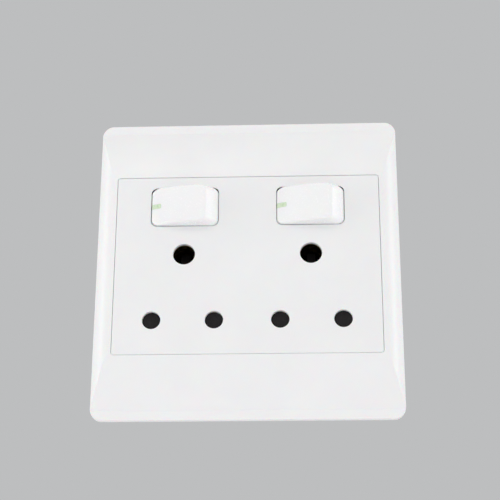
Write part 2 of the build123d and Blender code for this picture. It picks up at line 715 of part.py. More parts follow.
def earth_contact(x):
    """The longer earth tube: a wide mouth with a slot for the shutter's ramp, and a grip below it."""
    tube = disc(x, EARTH_Y, 2 * EARTH_TUBE_OUTER_R, EARTH_TUBE_FOOT_Z, EARTH_TUBE_TOP_Z)
    tube += block(
        x - TAB_W / 2,
        x + TAB_W / 2,
        EARTH_Y,
        EARTH_LINK_Y + LINK_W / 2,
        EARTH_LINK_Z,
        EARTH_LINK_Z + STRIP_WALL,
    )
    tube -= disc(x, EARTH_Y, 2 * EARTH_TUBE_R, EARTH_TUBE_FOOT_Z, EARTH_TUBE_TOP_Z)
    tube -= disc(x, EARTH_Y, EARTH_MOUTH_D, EARTH_GRIP_TOP_Z, EARTH_TUBE_TOP_Z)
    seam_y = EARTH_Y - 2 * EARTH_TUBE_R
    tube -= block(x - TUBE_SEAM / 2, x + TUBE_SEAM / 2, seam_y, EARTH_Y, EARTH_TUBE_FOOT_Z, EARTH_TUBE_TOP_Z)
    tube -= block(
        x - TONGUE_SLOT_W / 2, x + TONGUE_SLOT_W / 2, seam_y, EARTH_Y, EARTH_GRIP_TOP_Z, EARTH_TUBE_TOP_Z
    )
    return tube


def link(x0, x1, y, top_z):
    """A flat bar behind two tabs, with a leg and a foot on its terminal."""
    back_z = top_z - STRIP_WALL
    low = y - LINK_W / 2
    bar = block(x0, x1, low, low + LINK_W, back_z, top_z)
    half_leg = LINK_LEG_W / 2
    bar += block(-half_leg, half_leg, low, low + STRIP_WALL, TERMINAL_TOP_Z, back_z)
    bar += block(-half_leg, half_leg, low, low + LINK_W, TERMINAL_TOP_Z, TERMINAL_TOP_Z + STRIP_WALL)
    return bar


def neutral_link():
    """Joins the two neutral tubes and the neutral terminal."""
    first = -SOCKET_OFFSET - LINE_PIN_SPACING / 2
    last = SOCKET_OFFSET - LINE_PIN_SPACING / 2
    return link(first - TAB_W / 2, last + TAB_W / 2, NEUTRAL_LINK_Y, NEUTRAL_LINK_Z)


def earth_link():
    """Joins the two earth tubes and the earth terminal."""
    end = SOCKET_OFFSET + TAB_W / 2
    return link(-end, end, EARTH_LINK_Y, EARTH_LINK_Z)


def live_link():
    """The live bar from its terminal to the knife posts under both rocking contacts."""
    half_post = KNIFE_POST_L / 2
    end = SOCKET_OFFSET + half_post
    low = ROCKER_Y - LIVE_LINK_W / 2
    high = low + LIVE_LINK_W
    bar = block(-end, end, low, high, TERMINAL_TOP_Z, TERMINAL_TOP_Z + LIVE_LINK_WALL)
    groove = Rot(X=90) * Cylinder(ARM_KNIFE_R + KNIFE_CLEARANCE, 2 * LIVE_LINK_W)
    for x in SOCKET_SIDES.values():
        bar += block(x - half_post, x + half_post, low, high, TERMINAL_TOP_Z, ARM_Z - KNIFE_CLEARANCE)
        bar -= Pos(x, ROCKER_Y, ARM_Z) * groove
    return bar


def terminal(y):
    """A terminal block with a hole for the wires across it and a screw hole from behind."""
    half = TERMINAL_SIDE / 2
    back_z = TERMINAL_TOP_Z - TERMINAL_LENGTH
    body = block(-half, half, y - half, y + half, back_z, TERMINAL_TOP_Z)
    body = chamfer(body.edges().filter_by(Axis.Z), TERMINAL_CHAMFER)
    body -= Pos(0, y, WIRE_HOLE_Z) * Rot(Y=90) * Cylinder(WIRE_HOLE_D / 2, 2 * TERMINAL_SIDE)
    body -= disc(0, y, TERMINAL_SCREW_D + 2 * TERMINAL_BORE_CLEARANCE, back_z, WIRE_HOLE_Z)
    return body


def slotted_screw(diameter, length, head_d, head_h):
    """A slotted cheese-head screw that points along +Z, with its head behind Z = 0."""
    screw = disc(0, 0, diameter, 0, length) + disc(0, 0, head_d, -head_h, 0)
    return screw - block(-head_d, head_d, -SLOT_W / 2, SLOT_W / 2, -head_h, SLOT_DEPTH - head_h)


def terminal_screws():
    """The three terminal screws, backed off so that the wire holes are free."""
    seat = TERMINAL_TOP_Z - TERMINAL_LENGTH - TERMINAL_SCREW_LIFT
    tip = WIRE_HOLE_Z - WIRE_HOLE_D / 2 - TERMINAL_SCREW_TIP_GAP
    screw = slotted_screw(TERMINAL_SCREW_D, tip - seat, TERMINAL_SCREW_HEAD_D, TERMINAL_SCREW_HEAD_H)
    return Compound([Pos(0, y, seat) * screw for y in TERMINAL_ROWS.values()])


def assembly_screws():
    """The screws that clamp the yoke between the rear housing and the face moulding."""
    seat = HOUSING_FLOOR_Z + SCREW_HEAD_H
    screw = slotted_screw(SCREW_D, SCREW_LENGTH, SCREW_HEAD_D, SCREW_HEAD_H)
    return Compound([Pos(x, y, seat) * screw for x, y in SCREW_PLACES])


# Contact covers
def contact_cover(x):
    """The deck over one socket's contacts, with a trough for the shutter's spring and an open earth slot."""
    inner = math.copysign(DECK_JOINT / 2, x)
    outer = math.copysign(HOUSING_W / 2 - DECK_EDGE_GAP, x)
    low = -HOUSING_H / 2 + DECK_EDGE_GAP
    high = EARTH_Y + DECK_RISE
    deck = block(min(inner, outer), max(inner, outer), low, high, DECK_BACK_Z, DECK_FRONT_Z)
    half_t = TROUGH_W / 2
    trough_high = LUG_Y + TROUGH_HEADROOM
    trough_foot = SPRING_AXIS_Z - TROUGH_W / 2 - TROUGH_FLOOR
    deck += block(
        x - half_t - TROUGH_WALL,
        x + half_t + TROUGH_WALL,
        SPRING_SEAT_Y - TROUGH_WALL,
        trough_high,
        trough_foot,
        DECK_BACK_Z,
    )
    deck -= block(
        x - half_t, x + half_t, SPRING_SEAT_Y, EARTH_Y, trough_foot + TROUGH_FLOOR, DECK_FRONT_Z
    )
    slot_r = EARTH_TUBE_OUTER_R + DECK_HOLE_GAP
    deck -= disc(x, EARTH_Y, 2 * slot_r, DECK_BACK_Z, DECK_FRONT_Z)
    deck -= block(x - slot_r, x + slot_r, EARTH_Y, high, DECK_BACK_Z, DECK_FRONT_Z)
    for side in (-1, 1):
        tube_x = x + side * LINE_PIN_SPACING / 2
        deck -= disc(tube_x, LINE_Y, 2 * (LINE_TUBE_OUTER_R + DECK_HOLE_GAP), DECK_BACK_Z, DECK_FRONT_Z)
    for screw_x, screw_y in SCREW_PLACES:
        deck -= disc(screw_x, screw_y, SCREW_BOSS_D + 2 * DECK_HOLE_GAP, DECK_BACK_Z, DECK_FRONT_Z)
    return deck


# Rear housing
def pin_cup(x):
    """A pedestal under a live or neutral tube, with a cup around its foot."""
    cup = disc(x, LINE_Y, PEDESTAL_D, HOUSING_FLOOR_Z, LINE_TUBE_FOOT_Z)
    cup += disc(x, LINE_Y, CUP_D, LINE_TUBE_FOOT_Z, LINE_TUBE_FOOT_Z + CUP_LIP)
    return cup


def pin_cup_room(x):
    """What is cut from a pedestal: the pin's room, the tube's seat and the slot for its tab."""
    top = LINE_TUBE_FOOT_Z + CUP_LIP
    slot = TAB_W / 2 + TAB_SLOT_GAP
    room = disc(x, LINE_Y, PEDESTAL_BORE_D, LINE_WELL_Z, top)
    room += disc(x, LINE_Y, 2 * (LINE_TUBE_OUTER_R + CUP_GAP), LINE_TUBE_FOOT_Z, top)
    return room + block(x - slot, x + slot, LINE_Y, LINE_Y + CUP_D, LINE_TUBE_FOOT_Z, top)


def earth_cup(x):
    """The deeper cup of an earth tube, with its well behind the floor."""
    cup = disc(x, EARTH_Y, EARTH_CUP_D, EARTH_WELL_Z - WELL_WALL, EARTH_TUBE_FOOT_Z + EARTH_CUP_LIP)
    return cup


def earth_cup_room(x):
    """What is cut from an earth cup: the pin's well, the tube's seat and the slot for its tab."""
    top = EARTH_TUBE_FOOT_Z + EARTH_CUP_LIP
    slot = TAB_W / 2 + TAB_SLOT_GAP
    room = disc(x, EARTH_Y, EARTH_WELL_D, EARTH_WELL_Z, top)
    room += disc(x, EARTH_Y, 2 * (EARTH_TUBE_OUTER_R + CUP_GAP), EARTH_TUBE_FOOT_Z, top)
    return room + block(x - slot, x + slot, EARTH_Y, EARTH_Y + EARTH_CUP_D, EARTH_TUBE_FOOT_Z, top)


def rocker_cheeks(x):
    """The two cheeks that hold a rocker's trunnions, with a snap-in throat above each bore."""
    near = YOKE_BLOCK_W / 2 + CHEEK_GAP
    far = near + CHEEK_WALL
    crown = PIVOT_Z + CHEEK_CROWN
    cheeks = Part()
    for side in (-1, 1):
        low = ROCKER_Y + min(side * near, side * far)
        cheeks += block(x - CHEEK_L / 2, x + CHEEK_L / 2, low, low + CHEEK_WALL, HOUSING_FLOOR_Z, crown)
    bore = Rot(X=90) * Cylinder(TRUNNION_D / 2 + TRUNNION_CLEARANCE, 4 * far)
    cheeks -= Pos(x, ROCKER_Y, PIVOT_Z) * bore
    throat = CHEEK_THROAT / 2
    return cheeks - block(x - throat, x + throat, ROCKER_Y - far, ROCKER_Y + far, PIVOT_Z, crown)


def rear_housing():
    """The box behind the wall: flange, cups, cheeks, screw bosses, terminal holes and barriers."""
    body = round_block(HOUSING_W, HOUSING_H, HOUSING_CORNER_R, HOUSING_FLOOR_Z, HOUSING_RIM_Z)
    body += round_block(
        HOUSING_W + 2 * FLANGE_W, HOUSING_H + 2 * FLANGE_H, HOUSING_CORNER_R + FLANGE_H, -FLANGE_WALL, 0
    )
    inner_w = HOUSING_W - 2 * HOUSING_WALL
    inner_h = HOUSING_H - 2 * HOUSING_WALL
    inner_r = HOUSING_CORNER_R - HOUSING_WALL
    body -= round_block(inner_w, inner_h, inner_r, FLOOR_TOP_Z, 2 * FACE_HEIGHT)
    for x, y in SCREW_PLACES:
        body += disc(x, y, SCREW_BOSS_D, HOUSING_FLOOR_Z, HOUSING_RIM_Z)
    for x in SOCKET_SIDES.values():
        body += rocker_cheeks(x)
        body += earth_cup(x)
        for side in (-1, 1):
            body += pin_cup(x + side * LINE_PIN_SPACING / 2)
    rows = sorted(TERMINAL_ROWS.values())
    for lower, upper in zip(rows, rows[1:]):
        middle = (lower + upper) / 2
        body += block(
            -BARRIER_W / 2,
            BARRIER_W / 2,
            middle - BARRIER_WALL / 2,
            middle + BARRIER_WALL / 2,
            HOUSING_FLOOR_Z - BARRIER_DEPTH,
            HOUSING_FLOOR_Z,
        )
    for x in SOCKET_SIDES.values():
        body -= earth_cup_room(x)
        for side in (-1, 1):
            body -= pin_cup_room(x + side * LINE_PIN_SPACING / 2)
    half = TERMINAL_SIDE / 2 + BLOCK_GAP
    for y in rows:
        body -= block(-half, half, y - half, y + half, HOUSING_FLOOR_Z, FLOOR_TOP_Z)
    for x, y in SCREW_PLACES:
        body -= disc(x, y, SCREW_HOLE_D, HOUSING_FLOOR_Z, FACE_HEIGHT)
        body -= disc(
            x, y, SCREW_HEAD_D + 2 * SCREW_RECESS_GAP, HOUSING_FLOOR_Z, HOUSING_FLOOR_Z + SCREW_HEAD_H
        )
    return body


# Mounting yoke
def mounting_yoke():
    """The steel frame that the wall box's screws hold, with turned-up sides."""
    plate = round_block(YOKE_W, YOKE_H, YOKE_CORNER_R, 0, YOKE_WALL)
    hole_w = HOUSING_W + 2 * YOKE_FIT
    hole_h = HOUSING_H + 2 * YOKE_FIT
    plate -= round_block(hole_w, hole_h, HOUSING_CORNER_R, 0, YOKE_WALL)
    for side in (-1, 1):
        edge = side * YOKE_W / 2
        inner = edge - side * YOKE_WALL
        plate += block(
            min(edge, inner),
            max(edge, inner),
            -YOKE_FLANGE_SPAN / 2,
            YOKE_FLANGE_SPAN / 2,
            0,
            YOKE_WALL + YOKE_FLANGE_H,
        )
        slot_y = side * FIXING_PITCH / 2
        slot = Pos(0, slot_y, 0) * SlotOverall(FIXING_SLOT_L, FIXING_SLOT_W, rotation=90)
        plate -= extrude(slot, YOKE_WALL)
        near = side * (HOOK_RISE - HOOK_SLOT_GAP)
        far = side * (HOOK_RISE + HOOK_WALL + CATCH_GAP)
        half_slot = HOOK_W / 2 + HOOK_SLOT_GAP
        for x in (-HOOK_OFFSET, HOOK_OFFSET):
            plate -= block(x - half_slot, x + half_slot, min(near, far), max(near, far), 0, YOKE_WALL)
    return plate


def pieces():
    """Every piece by its name, in its place on the bench."""
    made = {
        "cover_frame": cover_frame(),
        "face_moulding": face_moulding(),
        "mounting_yoke": mounting_yoke(),
        "rear_housing": rear_housing(),
        "live_link": live_link(),
        "neutral_link": neutral_link(),
        "earth_link": earth_link(),
        "terminal_screws": terminal_screws(),
        "assembly_screws": assembly_screws(),
    }
    for row, y in TERMINAL_ROWS.items():
        made[f"{row}_terminal"] = terminal(y)
    for side, x in SOCKET_SIDES.items():
        made[f"rocker_{side}"] = at_rocker(x, rocker())
        made[f"rocker_marker_{side}"] = at_rocker(x, rocker_marker())
        made[f"plunger_{side}"] = at_rocker(x, plunger())
        made[f"plunger_spring_{side}"] = at_rocker(x, plunger_spring())
        made[f"rocking_contact_{side}"] = at_arm(x, rocking_contact())
        made[f"shutter_{side}"] = Pos(x, 0, 0) * shutter()
        made[f"shutter_spring_{side}"] = Pos(x, 0, 0) * shutter_spring()
        made[f"contact_cover_{side}"] = contact_cover(x)
        made[f"live_contact_{side}"] = live_contact(x)
        made[f"neutral_contact_{side}"] = neutral_contact(x)
        made[f"earth_contact_{side}"] = earth_contact(x)
    return made


os.makedirs("parts", exist_ok=True)
for name, piece in pieces().items():
    export_step(on_wall(piece), f"parts/{name}.step")
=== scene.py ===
import json
import math

import bpy
from mathutils import Matrix, Vector


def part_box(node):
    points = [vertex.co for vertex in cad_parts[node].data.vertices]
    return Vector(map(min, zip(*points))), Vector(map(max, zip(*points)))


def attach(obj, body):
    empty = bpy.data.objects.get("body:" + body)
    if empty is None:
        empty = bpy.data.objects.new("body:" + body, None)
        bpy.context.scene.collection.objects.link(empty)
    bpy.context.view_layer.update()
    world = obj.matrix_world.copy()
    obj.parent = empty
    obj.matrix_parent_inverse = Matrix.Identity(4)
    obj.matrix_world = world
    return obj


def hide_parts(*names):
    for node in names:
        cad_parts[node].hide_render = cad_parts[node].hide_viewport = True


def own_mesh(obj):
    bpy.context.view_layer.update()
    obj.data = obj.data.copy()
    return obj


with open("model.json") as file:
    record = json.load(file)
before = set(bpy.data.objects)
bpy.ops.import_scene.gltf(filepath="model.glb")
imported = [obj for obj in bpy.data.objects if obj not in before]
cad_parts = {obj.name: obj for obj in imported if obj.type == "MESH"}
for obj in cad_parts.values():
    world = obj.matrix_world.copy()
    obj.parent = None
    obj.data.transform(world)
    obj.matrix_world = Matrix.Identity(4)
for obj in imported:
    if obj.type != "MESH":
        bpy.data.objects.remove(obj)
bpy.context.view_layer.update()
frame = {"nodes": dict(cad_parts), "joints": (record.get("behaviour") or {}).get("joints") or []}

bl_info = {
    "name": "Double Switched Wall Socket",
    "version": (1, 0, 0),
    "blender": (4, 5, 0),
    "location": "View3D > Sidebar > Socket",
    "description": "Finishes, springs and studio for a double switched wall socket",
    "category": "Object",
}

SIDES = ("left", "right")
MM = 0.001

# Studio, in metres, and the camera's sensor as Blender gives it
FLOOR_Z = -0.6
FLOOR_SIZE = 30
CAMERA_CLIP = 0.01
SENSOR_WIDTH_MM = 36
# Where the middle of the face stands from the view's centre: a little to the left, and below
FRAMING = (-1.1 * MM, -4.7 * MM)
# Each lamp's place, its width and height, and the studio value that holds its power
LAMPS = (
    ("Left Lamp", (-1.1, -0.3, 0.1), (0.6, 1.1), "left"),
    ("Right Lamp", (1.1, -0.3, 0.1), (0.6, 1.1), "right"),
    ("Top Lamp", (-0.5, -1.3, 0.95), (1.0, 0.5), "top"),
    ("Low Lamp", (-0.1, -0.12, -0.5), (0.9, 0.12), "low"),
    ("Key Lamp", (-0.75, -1.3, -0.45), (0.9, 0.6), "key"),
)

# Materials
IOR_UREA = 1.55
IOR_POLYCARBONATE = 1.58
IOR_FILLED_PLASTIC = 1.6
IOR_NYLON = 1.53
# Sockets of a Mix node that mixes colours
FACTOR, FIRST, SECOND, RESULT = 0, 6, 7, 2
# The range that most of a noise's values lie in
NOISE_RANGE = {"From Min": 0.3, "From Max": 0.7}
NOISE_TO_SHARE = {**NOISE_RANGE, "To Min": 0.0, "To Max": 1.0}
EDGE_SAMPLES = 6
# Along an inlay from its left end, where the plastic ran in and is thickest
GATE_SHARE = 0.62
# How far inside an earth tube its bright mouth ends and the painted shade starts, and from where
# that painted shade is darkest
SHADE_STARTS = 0.1 * MM
SHADE_FULL_FROM = 1.2 * MM

# Springs
WIRE_SIDES = 10
STEPS_PER_TURN = 22
SMOOTH_BELOW = math.radians(50)


def linear(code):
    """Turns an sRGB hex value into linear red, green and blue."""
    shares = [int(code[i : i + 2], 16) / 255 for i in (0, 2, 4)]
    return tuple(c / 12.92 if c <= 0.04045 else ((c + 0.055) / 1.055) ** 2.4 for c in shares)


def colour(name, description, code):
    """A colour that the panel offers, given as sRGB hex."""
    return bpy.props.FloatVectorProperty(
        name=name, description=description, subtype="COLOR", size=3, min=0, max=1,
        default=linear(code),
    )


def length(name, description, default):
    """A length that the panel offers, in metres."""
    return bpy.props.FloatProperty(
        name=name, description=description, unit="LENGTH", subtype="DISTANCE", min=0,
        default=default,
    )


def turns(name, description, default):
    """A spring's number of turns that the panel offers."""
    return bpy.props.IntProperty(name=name, description=description, min=3, default=default)


def angle(name, description, degrees):
    """An angle that the panel offers, given in degrees."""
    return bpy.props.FloatProperty(
        name=name, description=description, subtype="ANGLE", default=math.radians(degrees)
    )


def power(name, description, default):
    """A lamp's power that the panel offers."""
    return bpy.props.FloatProperty(
        name=name, description=description, unit="POWER", min=0, default=default
    )


class SocketColours(bpy.types.PropertyGroup):
    """Colours of the socket's finishes."""

    moulding: colour("Cover and face", "White of the cover and the face moulding", "F3F3F3")
    rocker: colour("Rockers", "White of the two rockers", "F6F6F6")
    marker: colour("Markers", "Pale green of the rockers' inlays", "D6E6C8")
    marker_core: colour("Marker core", "Deeper green where an inlay is thickest", "A9C99B")
    phenolic: colour("Rear housing", "Black of the housing behind the wall", "232325")
    shutter: colour("Shutters", "Dark grey of the shutters behind the pin holes", "1C191A")
    nylon: colour("Plungers", "Natural nylon of the plungers", "E8E4D8")
    brass: colour("Brass", "Bare brass of the contacts, links and terminals", "D9B871")
    # Painted shade: the near-black brown that the earth tubes' colour runs to deeper inside them,
    # where little light reaches
    painted_tube_shade: colour("Painted tube shade", "Brown film deep inside the earth tubes", "1A130B")
    zinc: colour("Zinc plating", "Zinc-plated steel of the yoke", "C9CCCF")
    screw: colour("Screws", "Plated steel of the screws", "BFC1C4")
    wire: colour("Springs", "Drawn steel wire of the springs", "9A9DA1")
    backdrop: colour("Backdrop", "Grey that stands behind the socket", "BDBEBF")
    floor: colour("Floor", "Pale floor below the socket", "E4E4E6")


class SocketSizes(bpy.types.PropertyGroup):
    """Sizes of the springs, which are the pieces modelled here."""

    shutter_wire: length("Shutter spring wire", "Wire diameter of a shutter's spring", 0.5 * MM)
    shutter_turns: turns("Shutter spring turns", "Turns of a shutter's spring", 8)
    shutter_keep: bpy.props.FloatProperty(
        name="Shutter spring when open",
        description="Share of its length that the spring keeps when the shutter is open",
        subtype="FACTOR",
        min=0.1,
        max=1,
        default=0.593,
    )
    plunger_coil: length("Plunger spring", "Mean diameter of a plunger's spring", 2.5 * MM)
    plunger_wire: length("Plunger spring wire", "Wire diameter of a plunger's spring", 0.35 * MM)
    plunger_length: length(
        "Plunger spring length", "Length of a plunger's spring at rest", 5.5 * MM
    )
    plunger_foot: length(
        "Plunger spring foot", "From the rocker's pivot back to the foot of the spring", 0.5 * MM
    )
    plunger_stroke: length(
        "Plunger stroke", "How far the plunger pushes its spring together", 3.0 * MM
    )
    plunger_turns: turns("Plunger spring turns", "Turns of a plunger's spring", 5)


class SocketStudio(bpy.types.PropertyGroup):
    """Camera and light."""

    lens: bpy.props.FloatProperty(
        name="Focal length", description="Focal length of the camera", unit="CAMERA", default=98.28
    )
    distance: length("Distance", "From the camera to the middle of the face", 0.559)
    tilt: angle("Tilt", "How far the face's top leans away from the camera", 22.0)
    turn: angle("Turn", "How far the face is turned from the camera", -2.6)
    roll: angle("Roll", "Roll of the camera", -0.24)
    ambient: bpy.props.FloatProperty(
        name="Ambient light", description="Strength of the soft light from all round", min=0,
        default=0.8,
    )
    left: power("Left lamp", "Power of the tall lamp at the left", 2.75)
    right: power("Right lamp", "Power of the tall lamp at the right", 3.4)
    top: power("Top lamp", "Power of the wide lamp above the camera", 2.2)
    low: power("Low lamp", "Power of the wide lamp that grazes the face from below", 0.35)
    key: power("Key lamp", "Power of the large lamp at the lower left", 1.4)


def colours():
    """The colours that are set in the panel."""
    return bpy.context.scene.socket_colours


def sizes():
    """The sizes that are set in the panel."""
    return bpy.context.scene.socket_sizes


def studio():
    """The camera and light values that are set in the panel."""
    return bpy.context.scene.socket_studio


# Materials
def add(tree, kind, settings=None, links=None):
    """Adds one node, sets its values and sockets, and links the sockets given."""
    node = tree.nodes.new(kind)
    for key, value in (settings or {}).items():
        if isinstance(key, int) or key in node.inputs:
            node.inputs[key].default_value = value
        else:
            setattr(node, key, value)
    for key, source in (links or {}).items():
        tree.links.new(source, node.inputs[key])
    return node


def start(name):
    """A new material, its empty node tree, and the place on the piece that patterns read."""
    material = bpy.data.materials.new(name)
    material.use_nodes = True
    tree = material.node_tree
    tree.nodes.clear()
    place = add(tree, "ShaderNodeTexCoord").outputs["Object"]
    return material, tree, place


def scaled(value, share):
    """A colour made darker or lighter by a share."""
    return tuple(min(1.0, c * share) for c in value)


def rgba(value, share=1.0):
    """A scaled colour with its alpha."""
    return (*scaled(value, share), 1.0)


def per_mm(size):
    """A noise scale whose features are size millimetres across, on coordinates in metres."""
    return 1 / (size * MM)


def white_moulding(name, tint, gloss, soft_edge):
    """Urea or polycarbonate from a polished mould; soft_edge is its edges' radius in mm."""
    # Even, slightly milky white with a satin gloss; the mould's slow waviness only bends the
    # reflections, and a faint grit, drawn coarser than the real one so that it shows, softens them
    material, tree, place = start(name)
    cloud = add(tree, "ShaderNodeTexNoise", {"Scale": per_mm(22), "Detail": 3.0}, {"Vector": place})
    waves = add(tree, "ShaderNodeTexNoise", {"Scale": per_mm(9), "Detail": 1.0}, {"Vector": place})
    grit = add(tree, "ShaderNodeTexNoise", {"Scale": per_mm(0.6), "Detail": 4.0}, {"Vector": place})
    tone = add(tree, "ShaderNodeMapRange", NOISE_TO_SHARE, {"Value": cloud.outputs["Fac"]})
    paint = add(
        tree, "ShaderNodeMix",
        {"data_type": "RGBA", FIRST: rgba(tint, 0.985), SECOND: rgba(tint, 1.01)},
        {FACTOR: tone.outputs["Result"]},
    )
    rough = add(
        tree, "ShaderNodeMapRange",
        {**NOISE_RANGE, "To Min": gloss - 0.03, "To Max": gloss + 0.05},
        {"Value": grit.outputs["Fac"]},
    )
    height = add(
        tree, "ShaderNodeMath", {"operation": "MULTIPLY_ADD", 1: 0.12},
        {0: grit.outputs["Fac"], 2: waves.outputs["Fac"]},
    )
    edge = add(tree, "ShaderNodeBevel", {"samples": EDGE_SAMPLES, "Radius": soft_edge * MM})
    skin = add(
        tree, "ShaderNodeBump", {"Strength": 1.0, "Distance": 0.012 * MM},
        {"Height": height.outputs[0], "Normal": edge.outputs["Normal"]},
    )
    shader = add(
        tree, "ShaderNodeBsdfPrincipled",
        {"IOR": IOR_UREA, "Subsurface Weight": 0.25, "Subsurface Scale": 0.8 * MM},
        {
            "Base Color": paint.outputs[RESULT],
            "Roughness": rough.outputs["Result"],
            "Normal": skin.outputs["Normal"],
        },
    )
    add(tree, "ShaderNodeOutputMaterial", links={"Surface": shader.outputs["BSDF"]})
    return material


def green_inlay(name, tint, core, gate):
    """Polycarbonate inlay, moulded as a second shot."""
    # Pale green with a little depth and a shinier skin than the rocker; a deeper green spot
    # stands round the gate, where the plastic is thickest
    material, tree, place = start(name)
    cloud = add(
        tree, "ShaderNodeTexNoise", {"Scale": per_mm(1.2), "Detail": 2.0}, {"Vector": place}
    )
    haze = add(tree, "ShaderNodeTexNoise", {"Scale": per_mm(0.5), "Detail": 2.0}, {"Vector": place})
    away = add(
        tree, "ShaderNodeVectorMath", {"operation": "DISTANCE", 1: tuple(gate)}, {0: place}
    )
    thick = add(
        tree, "ShaderNodeMapRange",
        {"From Min": 0.3 * MM, "From Max": 1.1 * MM, "To Min": 0.75, "To Max": 0.0},
        {"Value": away.outputs["Value"]},
    )
    tone = add(tree, "ShaderNodeMapRange", NOISE_TO_SHARE, {"Value": cloud.outputs["Fac"]})
    pale = add(
        tree, "ShaderNodeMix",
        {"data_type": "RGBA", FIRST: rgba(tint, 0.95), SECOND: rgba(tint, 1.05)},
        {FACTOR: tone.outputs["Result"]},
    )
    deep = add(
        tree, "ShaderNodeMix", {"data_type": "RGBA", SECOND: rgba(core)},
        {FACTOR: thick.outputs["Result"], FIRST: pale.outputs[RESULT]},
    )
    rough = add(
        tree, "ShaderNodeMapRange", {**NOISE_RANGE, "To Min": 0.2, "To Max": 0.34},
        {"Value": haze.outputs["Fac"]},
    )
    shader = add(
        tree, "ShaderNodeBsdfPrincipled",
        {"IOR": IOR_POLYCARBONATE, "Subsurface Weight": 0.15, "Subsurface Scale": 0.4 * MM},
        {"Base Color": deep.outputs[RESULT], "Roughness": rough.outputs["Result"]},
    )
    add(tree, "ShaderNodeOutputMaterial", links={"Surface": shader.outputs["BSDF"]})
    return material


def dark_moulding(name, tint, gloss, fleck_size, soft_edge, shine=0.5):
    """Phenolic or filled plastic; fleck_size and soft_edge, its edges' radius, are in mm."""
    # Nearly black with a dull skin, where flecks of filler and the flow of the melt just show; the
    # real flecks are finer, and are drawn as coarse as they need to show
    material, tree, place = start(name)
    flecks = add(
        tree, "ShaderNodeTexNoise", {"Scale": per_mm(fleck_size), "Detail": 5.0}, {"Vector": place}
    )
    along = add(tree, "ShaderNodeMapping", {"Scale": (1.0, 1.0, 0.35)}, {"Vector": place})
    flow = add(
        tree, "ShaderNodeTexNoise", {"Scale": per_mm(14), "Detail": 2.0},
        {"Vector": along.outputs["Vector"]},
    )
    tone = add(
        tree, "ShaderNodeMapRange",
        {"From Min": 0.42, "From Max": 0.68, "To Min": 0.0, "To Max": 1.0},
        {"Value": flecks.outputs["Fac"]},
    )
    paint = add(
        tree, "ShaderNodeMix",
        {"data_type": "RGBA", FIRST: rgba(tint, 0.8), SECOND: rgba(tint, 1.45)},
        {FACTOR: tone.outputs["Result"]},
    )
    rough = add(
        tree, "ShaderNodeMapRange",
        {**NOISE_RANGE, "To Min": gloss - 0.07, "To Max": gloss + 0.09},
        {"Value": flow.outputs["Fac"]},
    )
    height = add(
        tree, "ShaderNodeMath", {"operation": "MULTIPLY_ADD", 1: 0.4},
        {0: flecks.outputs["Fac"], 2: flow.outputs["Fac"]},
    )
    edge = add(tree, "ShaderNodeBevel", {"samples": EDGE_SAMPLES, "Radius": soft_edge * MM})
    skin = add(
        tree, "ShaderNodeBump", {"Strength": 1.0, "Distance": 0.03 * MM},
        {"Height": height.outputs[0], "Normal": edge.outputs["Normal"]},
    )
    shader = add(
        tree, "ShaderNodeBsdfPrincipled",
        {"IOR": IOR_FILLED_PLASTIC, "Specular IOR Level": shine},
        {
            "Base Color": paint.outputs[RESULT],
            "Roughness": rough.outputs["Result"],
            "Normal": skin.outputs["Normal"],
        },
    )
    add(tree, "ShaderNodeOutputMaterial", links={"Surface": shader.outputs["BSDF"]})
    return material


def natural_nylon(name, tint):
    """Turned natural nylon."""
    # Milky and waxy, with light that sinks in and comes out soft
    material, tree, place = start(name)
    cloud = add(
        tree, "ShaderNodeTexNoise", {"Scale": per_mm(2.5), "Detail": 2.0}, {"Vector": place}
    )
    tone = add(tree, "ShaderNodeMapRange", NOISE_TO_SHARE, {"Value": cloud.outputs["Fac"]})
    paint = add(
        tree, "ShaderNodeMix",
        {"data_type": "RGBA", FIRST: rgba(tint, 0.93), SECOND: rgba(tint, 1.04)},
        {FACTOR: tone.outputs["Result"]},
    )
    rough = add(
        tree, "ShaderNodeMapRange", {**NOISE_RANGE, "To Min": 0.32, "To Max": 0.45},
        {"Value": cloud.outputs["Fac"]},
    )
    shader = add(
        tree, "ShaderNodeBsdfPrincipled",
        {"IOR": IOR_NYLON, "Subsurface Weight": 0.3, "Subsurface Scale": 1.0 * MM},
        {"Base Color": paint.outputs[RESULT], "Roughness": rough.outputs["Result"]},
    )
    add(tree, "ShaderNodeOutputMaterial", links={"Surface": shader.outputs["BSDF"]})
    return material


